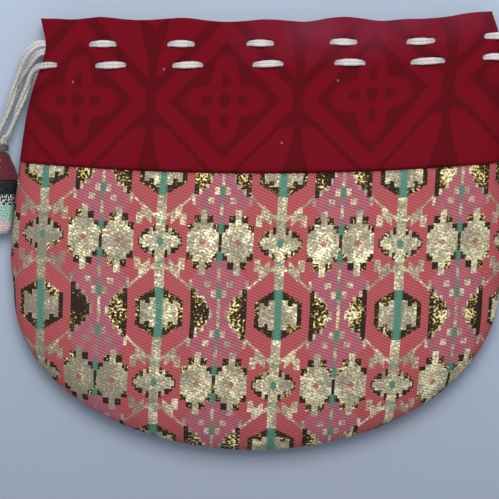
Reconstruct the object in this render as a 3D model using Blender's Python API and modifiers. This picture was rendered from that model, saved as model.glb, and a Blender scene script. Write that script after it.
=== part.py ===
# Potli bag: a flat drawstring pouch, lying on its back with its mouth towards +Y.
# A brocade body with a round bottom, a printed cotton yoke with two rows of slits, a lining,
# two rows of drawcord woven through the slits, and a stuffed cloth tassel at each side.
# Metres, +Z up. The origin is on the flat of the back, level with the shoulders of the round bottom.

import math

import bmesh
import bpy
from mathutils import Vector

# Outline of the pouch, as heights above the shoulders and half-widths there
ROUND_DEPTH = 0.0750
SHOULDER_HALF_WIDTH = 0.1130
FULLEST_HEIGHT = 0.0163
FULLEST_HALF_WIDTH = 0.1149
YOKE_SEAM_HEIGHT = 0.0596
YOKE_SEAM_HALF_WIDTH = 0.1121
NECK_HEIGHT = 0.0900
NECK_HALF_WIDTH = 0.1084
NOTCH_HEIGHT = 0.1132
NOTCH_HALF_WIDTH = 0.1021
MOUTH_HEIGHT = 0.1259
MOUTH_HALF_WIDTH = 0.1048
YOKE_SEAM_SAG = 0.0049
MOUTH_WAVE = 0.0004

# How the pouch lies: it leans to its right towards the mouth, its right edge is pulled straight,
# its right corner is lifted and the rows of cord hang a little on its left
SLOUCH = 0.0064
SLOUCH_POWER = 1.6
RIGHT_NECK_HALF_WIDTH = 0.1108
RIGHT_NOTCH_HALF_WIDTH = 0.1085
RIGHT_MOUTH_HALF_WIDTH = 0.1040
RIGHT_PULL_START = 0.0700
CORNER_LIFT = 0.0030
CORNER_LIFT_START = 0.0620
CORNER_LIFT_END = 0.1060
LIFT_START_HEIGHT = 0.0750
LIFT_FULL_HEIGHT = 0.1050
ROW_SAG = 0.0011
ROW_SAG_START = 0.0450
ROW_SAG_FULL = -0.0300

# How full the pouch is
BODY_THICKNESS = 0.0300
SEAM_THICKNESS = 0.0262
NECK_THICKNESS = 0.0205
MOUTH_THICKNESS = 0.0196
SIDE_SEAM_LEVEL = 0.0100
FRONT_ROUNDNESS = 2.5
BACK_ROUNDNESS = 2.5
BACK_FLAT_SHARE = 0.45
NECK_LIFT = 0.0036
NECK_LIFT_START = 0.0540
NECK_LIFT_END = 0.0970
GATHER_DEPTH = 0.0008
GATHER_START = 0.0620
GATHER_FULL = 0.1000
CREASE_DEPTH = 0.0006
CREASE_WIDTH = 0.0030

# Cloth
BROCADE_WALL = 0.0012
YOKE_WALL = 0.0012
LINING_WALL = 0.0006
LINING_TOP = 0.0900
LINING_CLEARANCE = 0.0012
SEAM_BULK = 0.0008
TOUCH = 0.0003

# Side openings, where the cords come out between the front and the back
SIDE_OPENING = 0.0022
SIDE_OPENING_START = 0.0905
SIDE_OPENING_END = 0.0985

# Drawcords and their slits
CORD_DIAMETER = 0.0030
CORD_CLEARANCE = 0.0006
UPPER_ROW = 0.1151
LOWER_ROW = 0.1055
BACK_ROW_DROP = 0.0037
UPPER_DASHES = (-0.0753, -0.0392, -0.0028, 0.0355, 0.0707)
LOWER_DASHES = (-0.0713, -0.0357, 0.0012, 0.0389, 0.0741)
UPPER_DASH_LENGTH = 0.0082
LOWER_DASH_LENGTH = 0.0098
LEFT_EXIT = -0.0984
RIGHT_EXIT = 0.0975
SLIT_LENGTH = 0.0058
SLIT_WIDTH = 0.0037
DIP_LENGTH = 0.0018
EXIT_OVERRUN = 0.0014
UPPER_SIDE_END = 0.0945
LOWER_SIDE_END = 0.0975
STRAND_SPACING = 0.0034

# Tassels, hanging down beside the body
TASSEL_TOP = 0.0676
TASSEL_AXIS = 0.1217
TASSEL_RADIUS = 0.0081
TASSEL_TIP_RADIUS = 0.0050
BINDING_LENGTH = 0.0030
BINDING_RADIUS = 0.0041
CONE_LENGTH = 0.0130
CONE_TOP_RADIUS = 0.0031
SKIRT_LENGTH = 0.0252
GROUND_CLEARANCE = 0.0001

# Loose strands at one side, from where they leave the pouch to the tassel, in metres from the
# middle line, from the shoulders and from the ground. The upper front cord leaves by the side
# opening on the left and by a slit on the right.
UPPER_FRONT_STRAND = (
    (0.1020, 0.1156, 0.0101),
    (0.1064, 0.1152, 0.0104),
    (0.1104, 0.1116, 0.0108),
    (0.1129, 0.1064, 0.0110),
    (0.1147, 0.0995, 0.0109),
    (0.1168, 0.0910, 0.0106),
    (0.1191, 0.0820, 0.0102),
    (0.1219, 0.0740, 0.0099),
)
UPPER_SLIT_STRAND = (
    (0.1010, 0.1151, 0.0160),
    (0.1053, 0.1149, 0.0150),
    (0.1098, 0.1122, 0.0138),
    (0.1122, 0.1070, 0.0126),
    (0.1142, 0.0995, 0.0114),
    (0.1166, 0.0910, 0.0107),
    (0.1191, 0.0820, 0.0102),
    (0.1219, 0.0740, 0.0099),
)
UPPER_BACK_STRAND = (
    (0.1020, 0.1119, 0.0099),
    (0.1058, 0.1108, 0.0093),
    (0.1091, 0.1066, 0.0084),
    (0.1118, 0.1020, 0.0077),
    (0.1140, 0.0970, 0.0073),
    (0.1162, 0.0910, 0.0069),
    (0.1190, 0.0820, 0.0066),
    (0.1219, 0.0740, 0.0065),
)
LOWER_FRONT_STRAND = (
    (0.1015, 0.1054, 0.0161),
    (0.1054, 0.1046, 0.0150),
    (0.1083, 0.1016, 0.0136),
    (0.1095, 0.0965, 0.0121),
    (0.1113, 0.0909, 0.0112),
    (0.1136, 0.0848, 0.0106),
    (0.1157, 0.0783, 0.0101),
    (0.1179, 0.0722, 0.0099),
)
LOWER_BACK_STRAND = (
    (0.1054, 0.1018, 0.0099),
    (0.1079, 0.1002, 0.0092),
    (0.1094, 0.0965, 0.0081),
    (0.1113, 0.0909, 0.0072),
    (0.1135, 0.0848, 0.0068),
    (0.1156, 0.0783, 0.0066),
    (0.1179, 0.0722, 0.0065),
)

# Fineness of the meshes, and how their lines are shared out
MERGE_DISTANCE = 0.00005
BODY_COLUMNS = 24
BODY_ROWS = 14
LINING_COLUMNS = 12
LINING_ROWS = 12
CROWDING = 0.95
BODY_SIDE_SHARE = 0.27
OUTLINE_STEPS = 60
YOKE_ROWS_BELOW_SLITS = 5
YOKE_ROWS_ABOVE_SLITS = 3
YOKE_STEPS_BETWEEN_DASHES = 3
YOKE_EDGE_SHARES = (0.12, 0.42)
STRAND_POINTS = 9
ROUTE_STEPS = 8
TASSEL_STEPS = 16
SHARP_ANGLE = math.radians(50)


def smooth_step(start, end, value):
    share = min(1.0, max(0.0, (value - start) / (end - start)))
    return share * share * (3.0 - 2.0 * share)


def curve_through(points, place):
    """The height at a place of a smooth curve through (place, height) pairs."""
    if place <= points[0][0]:
        return points[0][1]
    if place >= points[-1][0]:
        return points[-1][1]
    right = next(i for i, point in enumerate(points) if point[0] >= place)
    left = right - 1

    def slope(i):
        before, after = points[max(i - 1, 0)], points[min(i + 1, len(points) - 1)]
        return (after[1] - before[1]) / (after[0] - before[0])

    span = points[right][0] - points[left][0]
    t = (place - points[left][0]) / span
    return (
        (2 * t**3 - 3 * t**2 + 1) * points[left][1]
        + (t**3 - 2 * t**2 + t) * span * slope(left)
        + (3 * t**2 - 2 * t**3) * points[right][1]
        + (t**3 - t**2) * span * slope(right)
    )


# Outline

def half_width(y):
    """Half the pouch's width at a height above the shoulders."""
    return curve_through(
        (
            (0.0, SHOULDER_HALF_WIDTH),
            (FULLEST_HEIGHT, FULLEST_HALF_WIDTH),
            (YOKE_SEAM_HEIGHT, YOKE_SEAM_HALF_WIDTH),
            (NECK_HEIGHT, NECK_HALF_WIDTH),
            (NOTCH_HEIGHT, NOTCH_HALF_WIDTH),
            (MOUTH_HEIGHT, MOUTH_HALF_WIDTH),
        ),
        y,
    )


def right_pull(y):
    """How far the right edge of the yoke is pulled out, past the half-width, at a height."""
    y = max(y, YOKE_SEAM_HEIGHT)
    straight = curve_through(
        (
            (YOKE_SEAM_HEIGHT, YOKE_SEAM_HALF_WIDTH),
            (NECK_HEIGHT, RIGHT_NECK_HALF_WIDTH),
            (NOTCH_HEIGHT, RIGHT_NOTCH_HALF_WIDTH),
            (MOUTH_HEIGHT, RIGHT_MOUTH_HALF_WIDTH),
        ),
        y,
    )
    return straight - half_width(y)


def drape(x, y):
    """How far a point of the even pouch moves when the pouch is laid down as it lies."""
    lean = SLOUCH * max(0.0, (y + ROUND_DEPTH) / (MOUTH_HEIGHT + ROUND_DEPTH)) ** SLOUCH_POWER
    pull = right_pull(y) * smooth_step(RIGHT_PULL_START, NOTCH_HALF_WIDTH, x)
    lift = CORNER_LIFT * smooth_step(CORNER_LIFT_START, CORNER_LIFT_END, x)
    below_hem = 1 - smooth_step(UPPER_ROW, MOUTH_HEIGHT, y)
    sag = ROW_SAG * smooth_step(ROW_SAG_START, ROW_SAG_FULL, x) * below_hem
    rise = (lift - sag) * smooth_step(LIFT_START_HEIGHT, LIFT_FULL_HEIGHT, y)
    return Vector((lean + pull, rise, 0))


def edge_share(x, y, inset):
    """0 on the middle line of the pouch and 1 on its outline, drawn in by the inset."""
    if y < 0:
        return math.hypot(x / (SHOULDER_HALF_WIDTH - inset), y / (ROUND_DEPTH - inset))
    return abs(x) / (half_width(y) - inset)


def drawn_in(inset):
    """How far an inner layer's outline is drawn in: past its inset, by the bulk of the seam."""
    return inset + SEAM_BULK if inset > 0 else 0.0


def yoke_seam(x):
    """The height of the seam between body and yoke, which sags in the middle."""
    return YOKE_SEAM_HEIGHT - YOKE_SEAM_SAG * (1 - (x / YOKE_SEAM_HALF_WIDTH) ** 2)


def dash_wave(x):
    """1 at each drawcord dash and -1 between two dashes."""
    pitch = (UPPER_DASHES[-1] - UPPER_DASHES[0]) / (len(UPPER_DASHES) - 1)
    return math.cos(2 * math.pi * (x - UPPER_DASHES[2]) / pitch)


def mouth_edge(x):
    """The height of the hem, which waves with the gathers."""
    return MOUTH_HEIGHT + MOUTH_WAVE * dash_wave(x)


# Front and back surfaces

def side_gap(y):
    """Half the space between the front's edge and the back's edge."""
    opening = SIDE_OPENING * smooth_step(SIDE_OPENING_START, SIDE_OPENING_END, y)
    return TOUCH / 2 + opening


def relief(x, y, share):
    """How far the gathers and the crease of the yoke seam draw the cloth inwards."""
    gathers = GATHER_DEPTH * dash_wave(x) * smooth_step(GATHER_START, GATHER_FULL, y)
    crease = CREASE_DEPTH * math.exp(-(((y - yoke_seam(x)) / CREASE_WIDTH) ** 2))
    return (gathers + crease) * (1 - share**4)


def front_surface(x, y, inset=0.0):
    """The height above the ground of the front, or of a surface inside it by the inset."""
    top = curve_through(
        (
            (0.0, BODY_THICKNESS),
            (YOKE_SEAM_HEIGHT, SEAM_THICKNESS),
            (NECK_HEIGHT, NECK_THICKNESS),
            (MOUTH_HEIGHT, MOUTH_THICKNESS),
        ),
        y,
    )
    share = min(1.0, edge_share(x, y, drawn_in(inset)))
    rim = SIDE_SEAM_LEVEL + side_gap(y)
    return rim + (top - inset - rim) * math.sqrt(1 - share**FRONT_ROUNDNESS) - relief(x, y, share)


def back_surface(x, y, inset=0.0):
    """The height above the ground of the back: flat in the middle, and lifted at the neck."""
    bottom = NECK_LIFT * smooth_step(NECK_LIFT_START, NECK_LIFT_END, y) + inset
    share = min(1.0, edge_share(x, y, drawn_in(inset)))
    rise = max(0.0, (share - BACK_FLAT_SHARE) / (1 - BACK_FLAT_SHARE))
    rim = SIDE_SEAM_LEVEL - side_gap(y)
    gathers = 0.5 * GATHER_DEPTH * dash_wave(x) * smooth_step(GATHER_START, GATHER_FULL, y)
    return rim - (rim - bottom) * math.sqrt(1 - rise**BACK_ROUNDNESS) + gathers * (1 - share**4)


# Cloth panels

def crowded(share, both_ends):
    """A share of 0 to 1 with its steps closer together near 0, or near both ends."""
    if both_ends:
        return (1 - CROWDING) * share + CROWDING * (1 - math.cos(math.pi * share)) / 2
    return (1 - CROWDING) * share + CROWDING * (1 - math.cos(math.pi * share / 2))


def round_edge(top, inset):
    """A function of 0 to 1 that runs round the outline from its top left to its top right."""
    heights = [top * i / OUTLINE_STEPS for i in range(OUTLINE_STEPS, 0, -1)]
    points = [Vector((-half_width(height) + inset, height)) for height in heights]
    wide, deep = SHOULDER_HALF_WIDTH - inset, ROUND_DEPTH - inset
    for i in range(2 * OUTLINE_STEPS + 1):
        angle = math.pi * (1 + i / (2 * OUTLINE_STEPS))
        points.append(Vector((wide * math.cos(angle), deep * math.sin(angle))))
    points += [Vector((-point.x, point.y)) for point in reversed(points[:OUTLINE_STEPS])]
    lengths = [0.0]
    for before, after in zip(points, points[1:]):
        lengths.append(lengths[-1] + (after - before).length)

    def place(share):
        goal = min(1.0, max(0.0, share)) * lengths[-1]
        i = next((k for k in range(1, len(lengths)) if lengths[k] >= goal), len(lengths) - 1)
        return points[i - 1].lerp(points[i], (goal - lengths[i - 1]) / (lengths[i] - lengths[i - 1]))

    return place


def body_place(top_line, inset):
    """A function of (across, up), each 0 to 1, that fills the body's outline below a top line."""
    left_top = top_line(-YOKE_SEAM_HALF_WIDTH)
    edge = round_edge(left_top, inset)
    side = BODY_SIDE_SHARE

    def top(across):
        wide = half_width(left_top) - inset
        x = wide * (2 * across - 1)
        return Vector((x, top_line(x)))

    def place(across, up):
        left, right = edge(side * (1 - up)), edge(1 - side * (1 - up))
        bottom = edge(side + (1 - 2 * side) * across)
        sides = left.lerp(right, across)
        ends = bottom.lerp(top(across), up)
        corners = edge(side).lerp(edge(1 - side), across).lerp(top(0).lerp(top(1), across), up)
        return sides + ends - corners

    return place


def thicken(bm, wall, front):
    """Gives an open sheet its thickness inwards, with its rim cut level along the side seam."""
    bm.normal_update()
    if (sum(face.normal.z for face in bm.faces) > 0) != front:
        bmesh.ops.reverse_faces(bm, faces=bm.faces)
        bm.normal_update()
    outer, sheet = list(bm.verts), list(bm.faces)
    rims = [edge.link_loops[0] for edge in bm.edges if edge.is_boundary]
    rims = [(loop.vert, loop.link_loop_next.vert) for loop in rims]
    inner = {vert: bm.verts.new(vert.co - vert.normal * wall) for vert in outer}
    for face in sheet:
        bm.faces.new([inner[vert] for vert in reversed(face.verts)])
    for a, b in rims:
        bm.faces.new((b, a, inner[a], inner[b]))
    for vert in bm.verts:
        gap = side_gap(vert.co.y)
        if front:
            vert.co.z = max(vert.co.z, SIDE_SEAM_LEVEL + gap)
        else:
            vert.co.z = min(vert.co.z, SIDE_SEAM_LEVEL - gap)


def cloth_object(name, bm, collection, material):
    """Drapes the cloth with the pouch and makes it an object."""
    for vert in bm.verts:
        vert.co += drape(vert.co.x, vert.co.y)
    mesh = bpy.data.meshes.new(name)
    bm.to_mesh(mesh)
    bm.free()
    mesh.shade_smooth()
    mesh.set_sharp_from_angle(angle=SHARP_ANGLE)
    piece = bpy.data.objects.new(name, mesh)
    mesh.materials.append(material)
    collection.objects.link(piece)
    return piece


def round_panel(name, front, wall, inset, top_line, columns, rows, collection, material):
    """A panel with the pouch's round bottom, up to a top line."""
    bm = bmesh.new()
    bmesh.ops.create_grid(bm, x_segments=columns, y_segments=rows, size=0.5)
    place = body_place(top_line, drawn_in(inset))
    surface = front_surface if front else back_surface
    for vert in bm.verts:
        spot = place(crowded(vert.co.x + 0.5, True), crowded(vert.co.y + 0.5, False))
        vert.co = (spot.x, spot.y, surface(spot.x, spot.y, inset))
    thicken(bm, wall, front)
    return cloth_object(name, bm, collection, material)


# Yoke

def yoke_columns(dashes, dash_length, row):
    """The places of the mesh's lines across a row, as shares of the half-width, and its slit cells."""
    half, edge = SLIT_LENGTH / 2, half_width(row)
    ends = [side * dash_length / 2 for side in (-1, 1)]
    slits = [LEFT_EXIT] + [dash + end for dash in dashes for end in ends] + [RIGHT_EXIT]
    left, right = slits[0] - half, slits[-1] + half
    places = [-edge] + [-edge + share * (left + edge) for share in YOKE_EDGE_SHARES] + [left]
    slit_cells = [len(places) - 1]
    for i, (slit, following) in enumerate(zip(slits, slits[1:])):
        places.append(slit + half)
        within_dash = i % 2 == 1
        steps = 1 if within_dash else YOKE_STEPS_BETWEEN_DASHES
        width = following - slit - SLIT_LENGTH
        places += [slit + half + width * k / steps for k in range(1, steps + 1)]
        slit_cells.append(len(places) - 1)
    places += [right] + [edge - share * (edge - right) for share in reversed(YOKE_EDGE_SHARES)] + [edge]
    return [place / edge for place in places], slit_cells


def yoke_rows(lower, upper):
    """(height of a line at x, how far it has gone over from the lower row's places to the upper's)"""
    half = SLIT_WIDTH / 2
    lines = []
    for i in range(YOKE_ROWS_BELOW_SLITS):
        share = i / YOKE_ROWS_BELOW_SLITS
        lines.append((lambda x, s=share: bottom_edge(x) + s * (lower - half - bottom_edge(x)), 0.0))
    lines.append((lambda x: lower - half, 0.0))
    lines.append((lambda x: lower + half, 0.0))
    lines.append((lambda x: (lower + upper) / 2, 0.5))
    lines.append((lambda x: upper - half, 1.0))
    lines.append((lambda x: upper + half, 1.0))
    for i in range(YOKE_ROWS_ABOVE_SLITS):
        share = (i + 1) / YOKE_ROWS_ABOVE_SLITS
        lines.append((lambda x, s=share: upper + half + s * (mouth_edge(x) - upper - half), 1.0))
    return lines


def bottom_edge(x):
    """The yoke's lower edge, just above the seam."""
    return yoke_seam(x) + TOUCH / 2


def yoke_panel(name, front, collection, material):
    """The cotton yoke, with its hem at the mouth and a slit wherever a drawcord goes through."""
    drop = 0.0 if front else BACK_ROW_DROP
    upper, lower = UPPER_ROW - drop, LOWER_ROW - drop
    upper_places, slit_cells = yoke_columns(UPPER_DASHES, UPPER_DASH_LENGTH, upper)
    lower_places = yoke_columns(LOWER_DASHES, LOWER_DASH_LENGTH, lower)[0]
    lines = yoke_rows(lower, upper)
    columns, rows = len(upper_places) - 1, len(lines) - 1
    bm = bmesh.new()
    bmesh.ops.create_grid(bm, x_segments=columns, y_segments=rows, size=0.5)
    surface = front_surface if front else back_surface
    cell = {}
    for face in bm.faces:
        middle = face.calc_center_median()
        cell[math.floor((middle.x + 0.5) * columns), math.floor((middle.y + 0.5) * rows)] = face
    for vert in bm.verts:
        column, row = round((vert.co.x + 0.5) * columns), round((vert.co.y + 0.5) * rows)
        height, over = lines[row]
        share = (1 - over) * lower_places[column] + over * upper_places[column]
        y = height(share * YOKE_SEAM_HALF_WIDTH)
        x = share * half_width(y)
        y = height(x)
        vert.co = (x, y, surface(x, y))
    lower_slit_row = YOKE_ROWS_BELOW_SLITS
    upper_slit_row = lower_slit_row + 3
    gone = [cell[column, row] for column in slit_cells[1:-1] for row in (lower_slit_row, upper_slit_row)]
    if front:
        gone.append(cell[slit_cells[0], lower_slit_row])
        gone += [cell[slit_cells[-1], row] for row in (lower_slit_row, upper_slit_row)]
    bmesh.ops.delete(bm, geom=gone, context="FACES_ONLY")
    thicken(bm, YOKE_WALL, front)
    return cloth_object(name, bm, collection, material)


# Drawcords

def weave(x, spans):
    """1 where the cord lies outside the cloth, and -1 where it lies inside."""
    outside = sum((math.tanh((x - a) / DIP_LENGTH) - math.tanh((x - b) / DIP_LENGTH)) / 2 for a, b in spans)
    return 2 * outside - 1


def woven_run(row, front, dashes, dash_length, ends):
    """The cord's points through the slits of one row, from left to right."""
    spans = [(dash - dash_length / 2, dash + dash_length / 2) for dash in dashes]
    slits = [end for span in spans for end in span]
    if ends[0] < LEFT_EXIT:
        spans.append((-2 * MOUTH_HALF_WIDTH, LEFT_EXIT))
        slits.append(LEFT_EXIT)
    if ends[1] > RIGHT_EXIT:
        spans.append((RIGHT_EXIT, 2 * MOUTH_HALF_WIDTH))
        slits.append(RIGHT_EXIT)
    stride = YOKE_WALL / 2 + CORD_CLEARANCE + CORD_DIAMETER / 2
    places = [share * half_width(row) for share in yoke_columns(dashes, dash_length, row)[0]]
    places += [slit + side * DIP_LENGTH / 2 for slit in slits for side in (-1, 1)]
    places = [x for x in places if ends[0] + DIP_LENGTH / 4 < x < ends[1] - DIP_LENGTH / 4]
    points = []
    for x in sorted(places + list(ends)):
        if front:
            z = front_surface(x, row) - YOKE_WALL / 2 + stride * weave(x, spans)
        else:
            z = back_surface(x, row) + YOKE_WALL / 2 - stride * weave(x, spans)
        points.append(Vector((x, row, z)))
    return points


def smooth_route(points, count):
    """Points spaced evenly along a smooth curve through a route's own points."""
    fine = []
    for i in range(len(points) - 1):
        before = points[max(i - 1, 0)]
        a, b = points[i], points[i + 1]
        after = points[min(i + 2, len(points) - 1)]
        for k in range(ROUTE_STEPS):
            t = k / ROUTE_STEPS
            fine.append(
                0.5 * (2 * a + (b - before) * t + (2 * before - 5 * a + 4 * b - after) * t**2
                       + (3 * a - before - 3 * b + after) * t**3)
            )
    fine.append(points[-1])
    lengths = [0.0]
    for a, b in zip(fine, fine[1:]):
        lengths.append(lengths[-1] + (b - a).length)
    spaced = []
    for k in range(count):
        goal = lengths[-1] * k / (count - 1)
        i = next(n for n in range(1, len(lengths)) if lengths[n] >= goal - 1e-9)
        spaced.append(fine[i - 1].lerp(fine[i], (goal - lengths[i - 1]) / (lengths[i] - lengths[i - 1])))
    return spaced


def strand(route, side, outer, above):
    """One loose strand, from the pouch to its place in the tassel's binding."""
    level = TASSEL_RADIUS + GROUND_CLEARANCE
    half = STRAND_SPACING / 2
    x = TASSEL_AXIS + (half if outer else -half)
    z = level + (half if above else -half)
    points = [Vector(point) for point in route] + [Vector((x, TASSEL_TOP + CORD_DIAMETER, z))]
    points = smooth_route(points, STRAND_POINTS) + [Vector((x, TASSEL_TOP + TOUCH, z))]
    return [Vector((side * point.x, point.y, point.z)) for point in points]


def drawcord(name, run, left_route, right_route, outer, above, collection, material):
    """A cord from the left tassel, through one row of slits, to the right tassel."""
    left = list(reversed(strand(left_route, -1, outer, above)))
    right = strand(right_route, 1, outer, above)
    points = [point + drape(point.x, point.y) for point in left + run + right]
    curve = bpy.data.curves.new(name, "CURVE")
    curve.dimensions = "3D"
    curve.bevel_depth = CORD_DIAMETER / 2
    curve.bevel_resolution = 2
    curve.use_fill_caps = True
    spline = curve.splines.new("POLY")
    spline.points.add(len(points) - 1)
    for spot, point in zip(spline.points, points):
        spot.co = (*point, 1)
    curve.materials.append(material)
    piece = bpy.data.objects.new(name, curve)
    collection.objects.link(piece)
    return piece


# Tassels

def turned(name, profile, side, collection, material):
    """A turned piece on the tassel's axis, from (radius, distance below the tassel's top) pairs."""
    mesh = bpy.data.meshes.new(name)
    verts = [(radius, 0, -down) for radius, down in profile]
    mesh.from_pydata(verts, [(i, i + 1) for i in range(len(verts) - 1)], [])
    mesh.materials.append(material)
    piece = bpy.data.objects.new(name, mesh)
    turn = piece.modifiers.new("Turn", "SCREW")
    turn.steps = turn.render_steps = TASSEL_STEPS
    turn.use_merge_vertices = True
    turn.merge_threshold = MERGE_DISTANCE
    hung_from = Vector((side * TASSEL_AXIS, TASSEL_TOP, TASSEL_RADIUS + GROUND_CLEARANCE))
    piece.location = hung_from + drape(hung_from.x, hung_from.y)
    piece.rotation_euler = (-math.pi / 2, 0, 0)
    collection.objects.link(piece)
    return piece


def tassel(side_name, side, collection, thread, maroon, banded):
    """The thread binding, the stuffed cone and the banded skirt, one below the other."""
    turned(
        f"tassel_binding_{side_name}",
        (
            (0.0, 0.0),
            (0.93 * BINDING_RADIUS, 0.0),
            (BINDING_RADIUS, 0.15 * BINDING_LENGTH),
            (BINDING_RADIUS, 0.6 * BINDING_LENGTH),
            (CONE_TOP_RADIUS, BINDING_LENGTH),
            (0.0, BINDING_LENGTH),
        ),
        side, collection, thread,
    )
    cone_top = BINDING_LENGTH + TOUCH
    cone_bottom = cone_top + CONE_LENGTH
    swell = TASSEL_RADIUS - CONE_TOP_RADIUS
    turned(
        f"tassel_cone_{side_name}",
        (
            (0.0, cone_top),
            (CONE_TOP_RADIUS, cone_top),
            (CONE_TOP_RADIUS + 0.36 * swell, cone_top + 0.25 * CONE_LENGTH),
            (CONE_TOP_RADIUS + 0.68 * swell, cone_top + 0.5 * CONE_LENGTH),
            (CONE_TOP_RADIUS + 0.92 * swell, cone_top + 0.78 * CONE_LENGTH),
            (TASSEL_RADIUS, cone_top + 0.93 * CONE_LENGTH),
            (0.985 * TASSEL_RADIUS, cone_bottom),
            (0.0, cone_bottom),
        ),
        side, collection, maroon,
    )
    skirt_top = cone_bottom + TOUCH
    narrowing = TASSEL_RADIUS - TASSEL_TIP_RADIUS
    turned(
        f"tassel_skirt_{side_name}",
        (
            (0.0, skirt_top),
            (0.985 * TASSEL_RADIUS, skirt_top),
            (TASSEL_RADIUS - 0.12 * narrowing, skirt_top + 0.08 * SKIRT_LENGTH),
            (TASSEL_RADIUS - 0.42 * narrowing, skirt_top + 0.25 * SKIRT_LENGTH),
            (TASSEL_RADIUS - 0.66 * narrowing, skirt_top + 0.5 * SKIRT_LENGTH),
            (TASSEL_RADIUS - 0.84 * narrowing, skirt_top + 0.75 * SKIRT_LENGTH),
            (TASSEL_TIP_RADIUS, skirt_top + 0.9 * SKIRT_LENGTH),
            (0.75 * TASSEL_TIP_RADIUS, skirt_top + SKIRT_LENGTH),
            (0.0, skirt_top + SKIRT_LENGTH),
        ),
        side, collection, banded,
    )


# Materials

def cloth_material(name, colour, roughness):
    material = bpy.data.materials.new(name)
    material.use_nodes = True
    shader = material.node_tree.nodes["Principled BSDF"]
    shader.inputs["Base Color"].default_value = (*colour, 1.0)
    shader.inputs["Roughness"].default_value = roughness
    shader.inputs["Metallic"].default_value = 0.0
    material.diffuse_color = (*colour, 1.0)
    return material


# Assembly

for stale in list(bpy.data.objects):
    bpy.data.objects.remove(stale, do_unlink=True)

bag = bpy.data.collections.new("potli_bag")
bpy.context.scene.collection.children.link(bag)

brocade = cloth_material("coral_brocade", (0.40, 0.12, 0.14), 0.70)
cotton = cloth_material("maroon_cotton", (0.16, 0.008, 0.014), 0.85)
lining = cloth_material("plain_lining", (0.30, 0.05, 0.06), 0.80)
cord = cloth_material("cream_cotton_cord", (0.68, 0.63, 0.55), 0.90)
thread = cloth_material("dark_thread", (0.03, 0.03, 0.03), 0.80)
banded = cloth_material("banded_cloth", (0.12, 0.20, 0.16), 0.80)

for side_name, front in (("front", True), ("back", False)):
    round_panel(
        f"{side_name}_brocade_panel", front, BROCADE_WALL, 0.0, lambda x: yoke_seam(x) - TOUCH / 2,
        BODY_COLUMNS, BODY_ROWS, bag, brocade,
    )
    yoke_panel(f"{side_name}_yoke_panel", front, bag, cotton)
    round_panel(
        f"{side_name}_lining", front, LINING_WALL, BROCADE_WALL + LINING_CLEARANCE, lambda x: LINING_TOP,
        LINING_COLUMNS, LINING_ROWS, bag, lining,
    )

left_slit_end, right_slit_end = LEFT_EXIT - EXIT_OVERRUN, RIGHT_EXIT + EXIT_OVERRUN
drawcord(
    "upper_front_drawcord",
    woven_run(UPPER_ROW, True, UPPER_DASHES, UPPER_DASH_LENGTH, (-UPPER_SIDE_END, right_slit_end)),
    UPPER_FRONT_STRAND, UPPER_SLIT_STRAND, True, True, bag, cord,
)
drawcord(
    "upper_back_drawcord",
    woven_run(
        UPPER_ROW - BACK_ROW_DROP, False, UPPER_DASHES, UPPER_DASH_LENGTH, (-UPPER_SIDE_END, UPPER_SIDE_END),
    ),
    UPPER_BACK_STRAND, UPPER_BACK_STRAND, True, False, bag, cord,
)
drawcord(
    "lower_front_drawcord",
    woven_run(LOWER_ROW, True, LOWER_DASHES, LOWER_DASH_LENGTH, (left_slit_end, right_slit_end)),
    LOWER_FRONT_STRAND, LOWER_FRONT_STRAND, False, True, bag, cord,
)
drawcord(
    "lower_back_drawcord",
    woven_run(
        LOWER_ROW - BACK_ROW_DROP, False, LOWER_DASHES, LOWER_DASH_LENGTH, (-LOWER_SIDE_END, LOWER_SIDE_END),
    ),
    LOWER_BACK_STRAND, LOWER_BACK_STRAND, False, False, bag, cord,
)

tassel("left", -1, bag, thread, cotton, banded)
tassel("right", 1, bag, thread, cotton, banded)
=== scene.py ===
import math

import bmesh
import bpy
import numpy as np
from mathutils import Matrix, Vector, noise


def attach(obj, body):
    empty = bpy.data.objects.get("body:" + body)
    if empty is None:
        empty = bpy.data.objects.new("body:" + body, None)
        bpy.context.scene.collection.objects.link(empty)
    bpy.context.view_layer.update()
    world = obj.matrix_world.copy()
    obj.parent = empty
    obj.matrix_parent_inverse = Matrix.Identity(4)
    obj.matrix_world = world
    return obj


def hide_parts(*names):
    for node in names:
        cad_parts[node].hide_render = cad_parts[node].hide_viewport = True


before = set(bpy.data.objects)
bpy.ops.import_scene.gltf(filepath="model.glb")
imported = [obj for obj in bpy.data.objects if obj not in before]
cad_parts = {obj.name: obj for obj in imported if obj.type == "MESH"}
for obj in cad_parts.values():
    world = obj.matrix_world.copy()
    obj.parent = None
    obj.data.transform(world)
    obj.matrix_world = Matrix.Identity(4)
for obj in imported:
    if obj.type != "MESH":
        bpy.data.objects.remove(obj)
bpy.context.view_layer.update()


# Brocade body. Two panels of ribbed jacquard with metallic thread, sewn together along the round
# bottom and the sides with their allowances turned in. The pouch lies on the flat of its back,
# and leans a little to its right towards the mouth.

ROUND_DEPTH, SHOULDER_HALF_WIDTH = 0.0750, 0.1130
YOKE_SEAM_HEIGHT, YOKE_SEAM_HALF_WIDTH, YOKE_SEAM_SAG = 0.0596, 0.1121, 0.0049
NECK_HEIGHT, NOTCH_HEIGHT, MOUTH_HEIGHT = 0.0900, 0.1132, 0.1259
NECK_HALF_WIDTH, NOTCH_HALF_WIDTH, MOUTH_HALF_WIDTH = 0.1084, 0.1021, 0.1048
PULLED_NECK, PULLED_NOTCH, PULLED_MOUTH = 0.1108, 0.1085, 0.1040
WIDEST_HEIGHT, WIDEST_HALF_WIDTH = 0.0163, 0.1149
SIDE_SEAM_LEVEL = 0.0100
SEAM_TURN, SEAM_GAP = 0.0005, 0.0003
ROUNDNESS = 2.5
BODY_WALL = 0.0010
SLOUCH, SLOUCH_POWER = 0.0064, 1.6
CORNER_LIFT, ROW_SAG = 0.0030, 0.0011
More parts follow.
